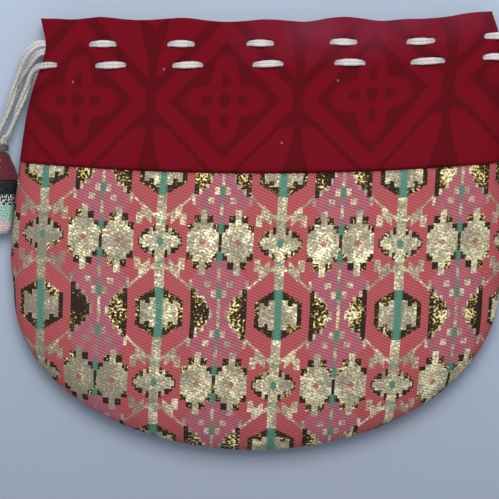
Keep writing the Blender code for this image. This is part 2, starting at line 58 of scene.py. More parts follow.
FIRST_DASH, LAST_DASH, MIDDLE_DASH = -0.0753, 0.0707, -0.0028
UPPER_ROW = 0.1151
MOUTH_GAP, GATHER_DEPTH, CREASE_DEPTH = 0.0022, 0.0008, 0.0006
INSET_AT_SIDES, FLAT_SHARE = 1.5, 0.45
PANEL_CORNER = 0.27
TOP_EDGE_TUCK = 0.0006


def smooth_step(start, end, value):
    share = np.clip((value - start) / (end - start), 0, 1)
    return share * share * (3 - 2 * share)


def near(distance, width):
    """1 where the distance is nothing, falling away smoothly over about that width."""
    return np.exp(-((distance / width) ** 2))


def curve_through(points, place):
    """Heights at places along a smooth curve through (place, height) pairs."""
    knots, heights = np.array(points).T
    number = np.arange(len(knots))
    before, after = np.maximum(number - 1, 0), np.minimum(number + 1, len(knots) - 1)
    slopes = (heights[after] - heights[before]) / (knots[after] - knots[before])
    place = np.clip(place, knots[0], knots[-1])
    right = np.clip(np.searchsorted(knots, place), 1, len(knots) - 1)
    left = right - 1
    span = knots[right] - knots[left]
    t = (place - knots[left]) / span
    return (
        (2 * t**3 - 3 * t**2 + 1) * heights[left]
        + (t**3 - 2 * t**2 + t) * span * slopes[left]
        + (3 * t**2 - 2 * t**3) * heights[right]
        + (t**3 - t**2) * span * slopes[right]
    )


def half_width(y):
    """Half the even pouch's width at each height."""
    return curve_through((
        (0, SHOULDER_HALF_WIDTH), (WIDEST_HEIGHT, WIDEST_HALF_WIDTH),
        (YOKE_SEAM_HEIGHT, YOKE_SEAM_HALF_WIDTH), (NECK_HEIGHT, NECK_HALF_WIDTH),
        (NOTCH_HEIGHT, NOTCH_HALF_WIDTH), (MOUTH_HEIGHT, MOUTH_HALF_WIDTH),
    ), y)


def right_pull(y):
    """How far the right edge of the yoke is pulled out, past the half-width."""
    y = np.maximum(y, YOKE_SEAM_HEIGHT)
    pulled = curve_through((
        (YOKE_SEAM_HEIGHT, YOKE_SEAM_HALF_WIDTH), (NECK_HEIGHT, PULLED_NECK),
        (NOTCH_HEIGHT, PULLED_NOTCH), (MOUTH_HEIGHT, PULLED_MOUTH),
    ), y)
    return pulled - half_width(y)


def draped(x, y):
    """Where points of the even pouch come to lie: it leans, and its right corner is lifted."""
    rise = np.maximum(0, (y + ROUND_DEPTH) / (MOUTH_HEIGHT + ROUND_DEPTH))
    lean = SLOUCH * rise**SLOUCH_POWER
    pull = right_pull(y) * smooth_step(0.0700, NOTCH_HALF_WIDTH, x)
    lift = CORNER_LIFT * smooth_step(0.0620, 0.1060, x)
    sag = ROW_SAG * smooth_step(0.0450, -0.0300, x) * (1 - smooth_step(UPPER_ROW, MOUTH_HEIGHT, y))
    return x + lean + pull, y + (lift - sag) * smooth_step(0.0750, 0.1050, y)


def edge_share(x, y, inset=0):
    """0 on the middle line and 1 on the outline."""
    round_part = np.hypot(x / (SHOULDER_HALF_WIDTH - inset), y / (ROUND_DEPTH - inset))
    return np.minimum(1, np.where(y < 0, round_part, np.abs(x) / (half_width(y) - inset)))


def yoke_seam(x):
    """The height of the seam between body and yoke, which sags in the middle."""
    return YOKE_SEAM_HEIGHT - YOKE_SEAM_SAG * (1 - (x / YOKE_SEAM_HALF_WIDTH) ** 2)


def dash_wave(x):
    """A wave across the pouch with a crest at each place where a cord shows."""
    return np.cos(2 * np.pi * (x - MIDDLE_DASH) / ((LAST_DASH - FIRST_DASH) / 4))


def side_gap(y):
    """Half the gap between the panels, sewn together up to the neck and open above it."""
    return SEAM_GAP / 2 + MOUTH_GAP * smooth_step(0.0905, 0.0985, y)


def gathers(x, y):
    return GATHER_DEPTH * dash_wave(x) * smooth_step(0.0620, 0.1000, y)


def front_surface(x, y, inset=0.0):
    """The level of the front's outer face, or of a layer that far inside it."""
    share = edge_share(x, y, inset * INSET_AT_SIDES)
    top = curve_through(
        ((0, 0.0300), (YOKE_SEAM_HEIGHT, 0.0262), (NECK_HEIGHT, 0.0205), (MOUTH_HEIGHT, 0.0196)), y,
    )
    rim = SIDE_SEAM_LEVEL + side_gap(y)
    puffed = rim + (top - inset - rim) * np.sqrt(1 - share**ROUNDNESS)
    crease = CREASE_DEPTH * near(y - yoke_seam(x), 0.0030)
    return puffed - (gathers(x, y) + crease) * (1 - share**4)


def back_surface(x, y, inset=0.0):
    """The level of the back's outer face, which is flat where it lies on the floor."""
    share = edge_share(x, y, inset * INSET_AT_SIDES)
    bottom = 0.0036 * smooth_step(0.0540, 0.0970, y) + inset
    rise = np.maximum(0, (share - FLAT_SHARE) / (1 - FLAT_SHARE))
    rim = SIDE_SEAM_LEVEL - side_gap(y)
    return rim - (rim - bottom) * np.sqrt(1 - rise**ROUNDNESS) + 0.5 * gathers(x, y) * (1 - share**4)


def crumple(x, y, size, seed):
    """Soft dents of about that size, from -1 to 1."""
    return np.array([noise.noise(Vector((a / size, b / size, seed))) for a, b in zip(x, y)])


def seam_puckers(x, y):
    """Short creases that run in from the side and bottom seam, from -1 to 1."""
    round_radius, round_length, crease_width, crease_length = 0.094, 0.148, 0.0055, 0.0110
    angle = np.arctan2(x, -y)
    along = np.where(y < 0, angle * round_radius, np.sign(x) * (round_length + y))
    waves = np.array([noise.noise(Vector((place / crease_width, 7.3, 0))) for place in along])
    return waves * near((1 - edge_share(x, y)) * 0.095, crease_length)


def laid_flat(x, y, surface):
    """Where points lie on the flat cloth, measured along the cloth from the seam's middle."""
    steps = np.linspace(0, 1, 33)[:, None]
    ups = YOKE_SEAM_HEIGHT + (y - YOKE_SEAM_HEIGHT) * steps
    across_levels, up_levels = surface(x * steps, y + 0 * steps), surface(x + 0 * steps, ups)
    across = np.hypot(np.diff(x * steps, axis=0), np.diff(across_levels, axis=0)).sum(0)
    up = np.hypot(np.diff(ups, axis=0), np.diff(up_levels, axis=0)).sum(0)
    return np.sign(x) * across, YOKE_SEAM_HEIGHT + np.sign(y - YOKE_SEAM_HEIGHT) * up


def outline(top, inset):
    """Places round the outline, from the top left at 0 to the top right at 1."""
    rise = np.linspace(top, 0, 80)[:-1]
    turn = np.linspace(np.pi, 2 * np.pi, 201)
    x = np.concatenate([-(half_width(rise) - inset), (SHOULDER_HALF_WIDTH - inset) * np.cos(turn)])
    y = np.concatenate([rise, (ROUND_DEPTH - inset) * np.sin(turn)])
    side = slice(len(rise) - 1, None, -1)
    x, y = np.concatenate([x, -x[side]]), np.concatenate([y, y[side]])
    lengths = np.concatenate([[0], np.cumsum(np.hypot(np.diff(x), np.diff(y)))])
    shares = lengths / lengths[-1]
    return lambda share: np.array([np.interp(share, shares, x), np.interp(share, shares, y)])


def crowded(share, both_ends):
    """The same share with its steps closer together near 0, or near both ends."""
    if both_ends:
        return 0.05 * share + 0.95 * (1 - np.cos(np.pi * share)) / 2
    return 0.05 * share + 0.95 * (1 - np.cos(np.pi * share / 2))


def in_scene(name, bm, finish=None):
    """An object from a finished bmesh, in the scene and in its material."""
    mesh = bpy.data.meshes.new(name)
    bm.to_mesh(mesh)
    bm.free()
    made = bpy.data.objects.new(name, mesh)
    bpy.context.scene.collection.objects.link(made)
    if finish:
        mesh.materials.append(finish.material)
    return made


def mapped(bm, across, up):
    """Rounds a bmesh's shading and gives it its map of the flat cloth."""
    layer = bm.loops.layers.uv.new("cloth")
    for face in bm.faces:
        face.smooth = True
        for loop in face.loops:
            loop[layer].uv = (across[loop.vert.index], up[loop.vert.index])


def cloth_piece(name, bm, x, y, z, flat, wall, finish):
    """Puts a panel's points in place, gives it its map of the flat cloth and its thickness."""
    bm.verts.index_update()
    x, y = draped(x, y)
    mapped(bm, *flat)
    for vert in bm.verts:
        vert.co = (x[vert.index], y[vert.index], z[vert.index])
    piece = in_scene(name, bm, finish)
    shell = piece.modifiers.new("Wall", "SOLIDIFY")
    shell.thickness, shell.offset, shell.use_even_offset = wall, -1, False
    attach(piece, "root")
    return piece


def grid(columns, rows):
    """A flat sheet with its points' shares across and up."""
    bm = bmesh.new()
    bmesh.ops.create_grid(bm, x_segments=columns, y_segments=rows, size=0.5)
    bm.verts.index_update()
    across, up, _ = np.array([vert.co for vert in bm.verts]).T + 0.5
    return bm, across, up


def round_panel(name, front, inset, top_line, columns, rows, wall, relief, chart, finish):
    """A panel with the pouch's round bottom, below a top line."""
    bm, across, up = grid(columns, rows)
    on_rim = (across < 0.001) | (across > 0.999) | (up < 0.001)
    on_top = up > 0.999
    across, up = crowded(across, True), crowded(up, False)
    drawn_in = inset + 0.0008 if inset else 0
    left_top = top_line(np.array(-YOKE_SEAM_HALF_WIDTH))
    edge = outline(float(left_top), drawn_in)
    corner = PANEL_CORNER
    top_x = (half_width(left_top) - drawn_in) * (2 * across - 1)
    top = np.array([top_x, top_line(top_x)])
    sides = edge(corner * (1 - up)) * (1 - across) + edge(1 - corner * (1 - up)) * across
    ends = edge(corner + (1 - 2 * corner) * across) * (1 - up) + top * up
    low = edge(np.array([corner])) * (1 - across) + edge(np.array([1 - corner])) * across
    high = np.array([top_x, np.full_like(across, left_top)])
    x, y = sides + ends - low * (1 - up) - high * up
    surface = front_surface if front else back_surface
    out = 1 if front else -1
    z = surface(x, y, inset) + out * relief(x, y) * (1 - edge_share(x, y) ** 6)
    flat = chart(*laid_flat(x, y, surface))
    turned_in = np.where(on_rim & ~on_top, 1 - SEAM_TURN / SHOULDER_HALF_WIDTH, 1)
    z = np.where(on_top & ~on_rim, z - out * TOP_EDGE_TUCK, z)
    if not front:
        bmesh.ops.reverse_faces(bm, faces=bm.faces)
    return cloth_piece(name, bm, x * turned_in, y * turned_in, z, flat, wall, finish)


class Value:
    """A number or colour that varies over a surface. Sums on it add Math nodes."""

    def __init__(self, finish, socket):
        self.finish, self.socket = finish, socket

    def maths(self, operation, *others):
        values = dict(enumerate((self, *others)))
        return self.finish.node("ShaderNodeMath", {"operation": operation}, values)

    def __add__(self, other):
        return self.maths("ADD", other)

    def __sub__(self, other):
        return self.maths("SUBTRACT", other)

    def __rsub__(self, other):
        return self.finish.node("ShaderNodeMath", {"operation": "SUBTRACT"}, {0: other, 1: self})

    def __mul__(self, other):
        return self.maths("MULTIPLY", other)

    def __truediv__(self, other):
        return self.maths("DIVIDE", other)

    def __pow__(self, other):
        return self.maths("POWER", other)

    def __lt__(self, other):
        return self.maths("LESS_THAN", other)

    def __gt__(self, other):
        return self.maths("GREATER_THAN", other)

    def __and__(self, other):
        return self.maths("MINIMUM", other)

    def __or__(self, other):
        return self.maths("MAXIMUM", other)

    def __abs__(self):
        return self.maths("ABSOLUTE")

    __radd__, __rmul__ = __add__, __mul__


class Finish:
    """A material and its nodes. Sockets that are the same all over are set when it is made."""

    def __init__(self, name, **constants):
        self.material = bpy.data.materials.new(name)
        self.material.use_nodes = True
        self.tree = self.material.node_tree
        self.shader = self.tree.nodes["Principled BSDF"]
        for socket, value in constants.items():
            self.shader.inputs[socket.replace("_", " ")].default_value = value

    def node(self, kind, settings, values, output=0):
        """A node, its settings made first and then its sockets' values or links."""
        made = self.tree.nodes.new(kind)
        for name, value in settings.items():
            setattr(made, name, value)
        for socket, value in values.items():
            if isinstance(value, Value):
                self.tree.links.new(value.socket, made.inputs[socket])
            else:
                made.inputs[socket].default_value = value
        return Value(self, made.outputs[output])

    def parts(self, vector):
        split = self.node("ShaderNodeSeparateXYZ", {}, {0: vector}).socket.node
        return [Value(self, socket) for socket in split.outputs]

    def flat_cloth(self):
        return self.node("ShaderNodeUVMap", {"uv_map": "cloth"}, {})

    def mix(self, share, under, over, blend="MIX"):
        """Two colours mixed. The node's sockets for colours are 6 and 7, and 2 on the way out."""
        settings = {"data_type": "RGBA", "blend_type": blend}
        return self.node("ShaderNodeMix", settings, {0: share, 6: under, 7: over}, 2)

    def fade(self, value, low, high):
        """0 at low and 1 at high, with soft ends."""
        settings = {"interpolation_type": "SMOOTHSTEP"}
        return self.node("ShaderNodeMapRange", settings, {0: value, 1: low, 2: high, 3: 0.0, 4: 1.0})

    def cloud(self, vector, scale, detail=2.0):
        return self.node("ShaderNodeTexNoise", {}, {"Vector": vector, "Scale": scale, "Detail": detail})

    def ramp(self, value, *stops):
        """A colour that runs through (value, colour) stops."""
        shown = self.node("ShaderNodeValToRGB", {}, {0: value})
        elements = shown.socket.node.color_ramp.elements
        elements[0].position, elements[0].color = stops[0]
        elements[1].position, elements[1].color = stops[-1]
        for position, colour in stops[1:-1]:
            elements.new(position).color = colour
        return shown

    def show(self, colour, roughness=None, metallic=None, height=None, depth=0.0002):
        """Feeds the shader what varies over the surface. Depth is the bump's, in metres."""
        varying = {"Base Color": colour, "Roughness": roughness, "Metallic": metallic}
        if height is not None:
            bump_values = {"Height": height, "Distance": depth, "Strength": 1.0}
            varying["Normal"] = self.node("ShaderNodeBump", {}, bump_values)
        for socket, value in varying.items():
            if value is not None:
                self.tree.links.new(value.socket, self.shader.inputs[socket])


def dyed(*screen_colour):
    """A red, green and blue as they show on screen, from 0 to 255, as the shader's colour."""
    shares = [value / 255 for value in screen_colour]
    linear = [((s + 0.055) / 1.055) ** 2.4 if s > 0.04045 else s / 12.92 for s in shares]
    return (*linear, 1.0)


# The weave is drawn as a chart for a quarter of the repeat, in units of 0.466 mm. It is mirrored
# both ways, and every edge falls on a thread.
CHART_UNIT = 0.466
HALF_REPEAT_WIDE, HALF_REPEAT_HIGH = 59.25, 70.4
THREADS_WIDE, THREADS_HIGH = 38, 48
CHART_TURN = math.radians(1.35)
FLOWER_PLACE = (0.01018, 0.0223)
ROSETTE_PLACE = 42.0
RIB_HEIGHT, RIB_SLOPE = 1.42, 0.36
CORAL, SEA_GREEN, BRICK_RED = dyed(179, 84, 86), dyed(86, 132, 110), dyed(168, 78, 74)
MAUVE, PLUM, VALLEY_SHADE = dyed(190, 98, 104), dyed(148, 94, 110), dyed(190, 176, 178)

brocade = Finish("ribbed_brocade", Roughness=0.65, Specular_IOR_Level=0.15)
brocade_map = brocade.flat_cloth()
across_mm, up_mm, _ = brocade.parts(brocade_map)


def on_chart(length, half_repeat, threads):
    """A length on the cloth as a place on the quarter chart, at the middle of a thread."""
    thread = half_repeat / threads
    middle = ((length / (CHART_UNIT * thread)).maths("FLOOR") + 0.5) * thread
    return middle.maths("PINGPONG", half_repeat)


# u runs from the stem with the flowers, w from the line between two stems, v from the flower with
# rosettes beside it, and from_flower from the one in a hexagon.
u = on_chart(across_mm, HALF_REPEAT_WIDE, THREADS_WIDE)
v = on_chart(up_mm, HALF_REPEAT_HIGH, THREADS_HIGH)
w = HALF_REPEAT_WIDE - u
from_flower = HALF_REPEAT_HIGH - v
star = abs(u - ROSETTE_PLACE)
climb = v - 0.80 * u
arrow_climb = v - 0.85 * u


def within(value, low, high):
    return value.maths("COMPARE", (low + high) / 2, (high - low) / 2)


def patches(across, up, boxes):
    """A mask of boxes, each from left to right and from low to high."""
    mask = None
    for left, right, low, high in boxes:
        box = within(across, left, right) & within(up, low, high)
        mask = box if mask is None else mask | box
    return mask


# Where each yarn shows on the chart.
coral_mask = (
    patches(u, v, [(0, 28.6, 0, 45)])
    | (within(climb, 24.0, 80) & (u < 31.4))
    | ((abs(u - 29.0) / 8.5 + abs(v - 28.5) / 15.0) < 1.0)
)
black_bars_mask = patches(u, from_flower, [(31.0, 36.4, 0, 24.4)]) | patches(w, v, [(0, 3.0, 0, 8.6)])
black_mask = (
    patches(u, v, [(0, 22.4, 0, 4.0), (0, 18.0, 0, 8.6), (10.2, 15.6, 0, 11.6), (0, 7.4, 0, 16.4)])
    | ((from_flower + 0.64 * u < 27.0) & (u < 23.0))
    | patches(u, from_flower, [(31.4, 49.6, 0, 5.8), (31.4, 46.2, 0, 12.6), (31.4, 42.6, 0, 17.6)])
    | patches(star, v, [(8.8, 15.0, 9.6, 18.0), (3.0, 8.8, 18.6, 26.0)])
    | black_bars_mask
)
cream_mask = (
    patches(u, v, [
        (0, 19.6, 0, 2.8), (0, 16.4, 0, 5.8), (0, 11.6, 0, 9.0), (0, 4.2, 0, 45),
        (7.6, 10.2, 0, 13.0), (4, 9.2, 25, 28.2),
    ])
    | patches(u, from_flower, [(0, 9.0, 0, 14.6), (0, 19.0, 0, 8.4), (14.4, 18.6, 0, 12.4)])
    | patches(star, v, [(0, 15.2, 0, 10.2), (0, 11.8, 0, 13.4), (0, 8.8, 0, 19.0), (0, 3.0, 0, 32)])
)
pale_mask = (
    patches(u, v, [(19, 24.5, 16.5, 27), (16.5, 24.5, 22.5, 28), (30.2, 33.2, 36, 45.5)])
    | patches(u, from_flower, [
        (49.6, 52.6, 0, 4.8), (46.2, 48.8, 5.6, 12.2), (42.6, 45.6, 12.2, 17.4), (36.4, 39.4, 16.6, 23.2),
    ])
    | (within(arrow_climb, 17.6, 20.8) & within(u, 4, 30.5))
    | (within(arrow_climb, 9.5, 19.3) & within(u, 10, 20))
    | patches(w, v, [
        (8.4, 14.4, 37.8, 44.3), (0, 1.7, 54.5, 71), (0, 1.7, 24.5, 37.5), (2.6, 8.3, 47, 54.5),
    ])
)
green_mask = (
    patches(u, v, [(0, 3.0, 45, 71), (0, 3.0, 0, 2.8), (0, 1.6, 0, 4.4)])
    | patches(w, v, [(0, 1.6, 46.0, 55.4), (0, 1.6, 8.6, 19.4)])
)
green_tint_mask = (
    patches(u, v, [(0, 4.0, 17.4, 22.4), (0, 4.6, 45, 71)])
    | patches(w, v, [(0, 3.1, 46.0, 55.4), (0, 3.1, 8.6, 19.4), (0, 1.6, 35.5, 46.0), (0, 1.6, 19.4, 27.0)])
)
red_mask = patches(star, v, [(0, 3.4, 0, 1.6), (0, 2.0, 0, 3.4)])

# The metallic thread's colour carries painted glints: bright grains that gather in clusters, painted fewer
# and greyer towards the lower left, where the cloth turns away from the lamp. In the black parts the painted
# glints show as specks of gold.
grain = brocade.cloud(brocade_map, 0.86, 1.0)
# Painted shade on the glints: they dull towards the lower left, where the cloth turns away from the lamp.
painted_dull_places = brocade.fade(across_mm + up_mm * 0.5, -94.0, -107.0)
wide_clusters = (brocade.cloud(brocade_map, 0.075, 1.0) - 0.5) * 0.60
small_clusters = (brocade.cloud(brocade_map, 0.30, 0.0) - 0.5) * 0.30
glitter = grain * 0.85 + 0.075 + wide_clusters + small_clusters - painted_dull_places * 0.16
# Fewer gold glints where the weave is solid black, and painted dulling at the lower left.
fewer_gold_and_painted_dull = painted_dull_places | black_bars_mask | (u < 23.4) * 0.85 | (v < 27) * 0.75
gold_clusters = (brocade.cloud(brocade_map, 0.11, 1.0) - 0.5) * 0.70
gold_glitter = grain + gold_clusters - fewer_gold_and_painted_dull * 0.11
# Cream thread with painted glints, from its own grey-cream up to near white.
cream_thread_and_painted_glints = brocade.ramp(
    glitter, (0.34, dyed(140, 129, 107)), (0.44, dyed(166, 155, 130)), (0.53, dyed(184, 172, 140)),
    (0.59, dyed(220, 205, 150)), (0.68, dyed(255, 245, 208)),
)
# Black thread with painted gold glints.
black_gold_and_painted_glints = brocade.ramp(
    gold_glitter, (0.44, dyed(44, 32, 20)), (0.50, dyed(74, 56, 26)), (0.55, dyed(136, 110, 48)),
    (0.61, dyed(214, 188, 108)), (0.70, dyed(255, 242, 196)),
)

ribs = (up_mm + across_mm * RIB_SLOPE) / RIB_HEIGHT
valley = brocade.fade(ribs.maths("PINGPONG", 0.5), 0.10, 0.5)
mauve_places = brocade.fade(brocade.cloud(brocade_map, 0.24, 1.0), 0.40, 0.62)

colour = brocade.mix(valley * 0.65 + mauve_places * 0.35, MAUVE, PLUM)
colour = brocade.mix(coral_mask, colour, CORAL)
colour = brocade.mix(pale_mask * 0.86, colour, cream_thread_and_painted_glints)
colour = brocade.mix(black_mask, colour, black_gold_and_painted_glints)
colour = brocade.mix(cream_mask, colour, cream_thread_and_painted_glints)
colour = brocade.mix(green_mask | green_tint_mask * 0.55, colour, SEA_GREEN)
colour = brocade.mix(red_mask * 0.8, colour, BRICK_RED)
valley_shade = valley * (0.56 - 0.28 * (cream_mask | black_mask))
metal = cream_mask | black_mask | pale_mask * 0.6
shiny = metal * brocade.fade(glitter, 0.54, 0.64)
brocade.show(
    brocade.mix(valley_shade, colour, VALLEY_SHADE, "MULTIPLY"),
    roughness=0.66 - 0.26 * shiny,
    metallic=0.30 * shiny,
    height=(1 - valley) * 0.6 + 0.4 * shiny,
    depth=0.00022,
)


def brocade_chart(across, up):
    """Millimetres on the weave's own axes, which are turned a little and rise towards the sides."""
    rise = curve_through((
        (-0.112, 0.0026), (-0.104, 0.0019), (-0.088, 0.0017), (-0.070, 0.0003), (-0.045, 0.0),
        (0.030, 0.0002), (0.046, 0.0011), (0.070, 0.0013), (0.091, 0.0028), (0.110, 0.0038),
    ), across)
    sway = 0.0006 * near(up + 0.0110, 0.0180) * (1 + 1.2 * near(across + 0.0440, 0.0300))
    right = (across - FLOWER_PLACE[0] - sway) * 1000
    high = (up - FLOWER_PLACE[1] - rise) * 1000
    cos, sin = math.cos(CHART_TURN), math.sin(CHART_TURN)
    return right * cos - high * sin, right * sin + high * cos


def body_top(x):
    return yoke_seam(x) - SEAM_GAP / 2


def front_relief(x, y):
    return 0.00045 * crumple(x, y, 0.032, 1.7) + 0.00045 * seam_puckers(x, y)


def back_relief(x, y):
    return -0.0003 * np.abs(seam_puckers(x, y))


front_body = round_panel(
    "front_body", True, 0.0, body_top, 150, 100, BODY_WALL, front_relief, brocade_chart, brocade,
)
back_body = round_panel(
    "back_body", False, 0.0, body_top, 110, 76, BODY_WALL, back_relief, brocade_chart, brocade,
)
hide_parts("front_brocade_panel")
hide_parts("back_brocade_panel")


# Lining. Two panels of plain cotton inside the brocade, sewn in at the same seams and ending under
# the drawcord channel. They show only through the mouth.

LINING_INSET, LINING_WALL = 0.0021, 0.0005

lining = Finish("plain_lining", Roughness=0.85, Specular_IOR_Level=0.2)
lining_map = lining.flat_cloth()


def plain_weave(finish, cloth_map, threads):
    """The bump of an even weave, with that many threads in 6.3 mm."""
    across, up, _ = finish.parts(cloth_map)
    return (across * threads).maths("SINE") * (up * threads).maths("SINE")


worn_places = lining.fade(lining.cloud(lining_map, 0.12), 0.35, 0.7)
lining.show(
    lining.mix(worn_places, dyed(150, 62, 66), dyed(166, 76, 80)),
    height=plain_weave(lining, lining_map, 14.0), depth=0.00004,
)


def lining_top(x):
    return np.full_like(x, NECK_HEIGHT)


def in_millimetres(across, up):
    return across * 1000, up * 1000


front_lining = round_panel(
    "front_inner_cloth", True, LINING_INSET, lining_top, 64, 56, LINING_WALL,
    lambda x, y: 0.0002 * crumple(x, y, 0.02, 4.1), in_millimetres, lining,
)
back_lining = round_panel(
    "back_inner_cloth", False, LINING_INSET, lining_top, 64, 56, LINING_WALL,
    lambda x, y: -0.0002 * np.abs(crumple(x, y, 0.02, 6.1)), in_millimetres, lining,
)
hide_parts("front_lining")
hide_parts("back_lining")


# Yoke. Two panels of maroon cotton with a tone-on-tone diamond print, hemmed at the mouth and slit
# wherever a drawcord goes through. The cords gather it, so that its hem waves.

LOWER_ROW, BACK_ROW_DROP = 0.1055, 0.0037
UPPER_DASHES = (FIRST_DASH, -0.0392, MIDDLE_DASH, 0.0355, LAST_DASH)
LOWER_DASHES = (-0.0713, -0.0357, 0.0012, 0.0389, 0.0741)
UPPER_DASH_LENGTH, LOWER_DASH_LENGTH = 0.0082, 0.0098
LEFT_EXIT, RIGHT_EXIT = -0.0984, 0.0975
SLIT_LENGTH, SLIT_WIDTH = 0.0052, 0.0036
YOKE_WALL = 0.0009
ROWS_BELOW, ROWS_BETWEEN, ROWS_ABOVE = 7, 4, 4
LOWER_SLIT_ROW, UPPER_SLIT_ROW = ROWS_BELOW, ROWS_BELOW + 3
PRINT_CENTRE, PRINT_PITCH, PRINT_HALF_HIGH = (-0.0180, 0.0889), 146.0, 80.0
DARK_MAROON, MAROON, PAINTED_SHEEN, LINT = dyed(91, 14, 21), dyed(113, 14, 27), dyed(130, 48, 70), dyed(205, 140, 140)
LINT_PLACES = ((-28.8, 15.2), (-70.7, 9.0), (52.0, 8.0), (27.2, -20.2))

cotton = Finish("printed_cotton", Roughness=0.9, Specular_IOR_Level=0.04)
cotton_map = cotton.flat_cloth()
print_across, print_up, _ = cotton.parts(cotton_map)
wobble = (cotton.cloud(cotton_map, 0.22, 3.0) - 0.5) * 3.0
pu = (print_across / CHART_UNIT).maths("PINGPONG", PRINT_PITCH / 2) + wobble
pv = (print_up / CHART_UNIT).maths("PINGPONG", PRINT_HALF_HIGH) + wobble * 0.7


def rounded(across, up, wide, high, power):
    """How far a point is from a round shape's middle: 1 on the shape's edge."""
    return (abs(pu - across) / wide) ** power + (abs(pv - up) / high) ** power


# A diamond ring round a flower of two crossed lobes with five dots in it, and leaves between rings.
outer_diamond = pu / 77.0 + pv / 82.0
inner_diamond = pu / 55.0 + pv / 59.5
wide_lobe, tall_lobe = rounded(0, 0, 40.0, 17.5, 2.4), rounded(0, 0, 15.5, 45.5, 2.4)
inside_ring = (1 - cotton.fade(outer_diamond, 0.96, 1.03)) * (1 - cotton.fade(pu, 65.5, 70.0))
ring = inside_ring * cotton.fade(inner_diamond, 0.96, 1.06)
flower = (1 - cotton.fade(wide_lobe, 0.75, 1.30)) | (1 - cotton.fade(tall_lobe, 0.75, 1.30))
side_dots, end_dots = rounded(17.5, 0, 5.2, 5.0, 2.0), rounded(0, 20.7, 4.0, 6.6, 2.0)
dots = cotton.fade(side_dots & end_dots & rounded(0, 0, 5.4, 7.4, 2.0), 0.3, 2.0)
stem = PRINT_PITCH / 2 - pu
upper_half = print_up > 0
petals = (
    cotton.fade(outer_diamond - upper_half * 0.09, 1.04, 1.11)
    * cotton.fade(pv + upper_half * 5, 24.0, 31.0)
    * cotton.fade(stem - ((pv - 20) ** 2.0) * 0.0035, 2.2, 5.0)
)
top_leaf = cotton.fade(stem - (pv - 70.0) * 1.1, 1.0, -1.5) * upper_half
light = ring | flower * dots | petals | top_leaf

# Painted sheen: the yoke is painted lighter and more mauve towards its top right, where the cloth turns to
# the light.
painted_sheen_place = cotton.fade(print_up, 12.0, 34.0) * cotton.fade(print_across, -10.0, 40.0)
cotton_colour = cotton.mix(light, DARK_MAROON, MAROON)
cotton_colour = cotton.mix(painted_sheen_place * cotton.cloud(cotton_map, 0.05) * 0.9, cotton_colour, PAINTED_SHEEN)
for across, up in LINT_PLACES:
    speck = abs(print_across - across) + abs(print_up - up) * 0.8 < 0.55
    cotton_colour = cotton.mix(speck * 0.5, cotton_colour, LINT)
cotton.show(cotton_colour, height=plain_weave(cotton, cotton_map, 13.0), depth=0.00003)


def printed(across, up):
    """Millimetres on the print's own axes, which rise towards the right."""
    rise = 0.0115 * (np.maximum(0, across) / 0.108) ** 2
    return (across - PRINT_CENTRE[0]) * 1000, (up - PRINT_CENTRE[1] - rise) * 1000


def slit_columns(dashes, dash_length, row):
    """Shares of the half-width for the panel's lines across a row, and which cells are its slits."""
    half, edge = SLIT_LENGTH / 2, float(half_width(row))
    dash_ends = [dash + side * dash_length / 2 for dash in dashes for side in (-1, 1)]
    slits = [LEFT_EXIT, *dash_ends, RIGHT_EXIT]
    left, right = slits[0] - half, slits[-1] + half
    places = [-edge + share * (left + edge) for share in (0, 0.06, 0.2, 0.5, 1)]
    cells = [len(places) - 1]
    for i, (slit, following) in enumerate(zip(slits, slits[1:])):
        steps = 3 if i % 2 else 7
        gap = following - slit - SLIT_LENGTH
        places += [slit + half + gap * k / steps for k in range(steps + 1)]
        cells.append(len(places) - 1)
    places += [edge - share * (edge - right) for share in (1, 0.5, 0.2, 0.06, 0)]
    return np.array(places) / edge, cells


def mouth_edge(x):
    """The hem, which runs a little uneven."""
    uneven = curve_through((
        (-0.103, 0.0), (-0.098, 0.0003), (-0.088, -0.0002), (-0.076, 0.0003), (-0.066, -0.0004),
        (-0.050, -0.0004), (-0.036, -0.0002), (-0.028, -0.0009), (-0.011, -0.0014), (0.000, -0.0008),
        (0.009, -0.0009), (0.019, -0.0013), (0.030, 0.0001), (0.041, 0.0002), (0.052, -0.0009),
        (0.064, -0.0004), (0.070, -0.0009), (0.080, -0.0006), (0.092, 0.0004), (0.104, 0.0),
    ), x)
    return MOUTH_HEIGHT + 0.0004 * dash_wave(x) + uneven


def row_height(row, x, lower, upper):
    """The height of one of the panel's lines, from the seam up to the hem."""
    half, bottom = SLIT_WIDTH / 2, yoke_seam(x) + SEAM_GAP / 2
    if row < ROWS_BELOW:
        return bottom + row / ROWS_BELOW * (lower - half - bottom)
    levels = [lower - half, lower + half, (lower + upper) / 2, upper - half, upper + half]
    if row <= ROWS_BELOW + ROWS_BETWEEN:
        return levels[row - ROWS_BELOW] + 0 * x
    share = (row - ROWS_BELOW - ROWS_BETWEEN) / ROWS_ABOVE
    return upper + half + share * (mouth_edge(x) - upper - half)


def slit_pull(x, y, upper, lower):
    """The cloth stands up over a cord that runs inside it, and is pinched at the slits."""
    stand = np.zeros_like(x)
    for row, dashes, length in (
        (upper, UPPER_DASHES, UPPER_DASH_LENGTH), (lower, LOWER_DASHES, LOWER_DASH_LENGTH),
    ):
        cord_outside = 0
        for dash in dashes:
            for side in (-1, 1):
                past = x - dash - side * length / 2
                cord_outside = cord_outside - side * smooth_step(-0.0015, 0.0015, past)
                away, turn = np.hypot(past, y - row), np.arctan2(y - row, past)
                stand += 0.00022 * np.cos(5 * turn + dash * 900) * near(away - 0.0045, 0.0030)
        stand += near(y - row, 0.0024) * (0.00035 - 0.0006 * cord_outside)
    return stand


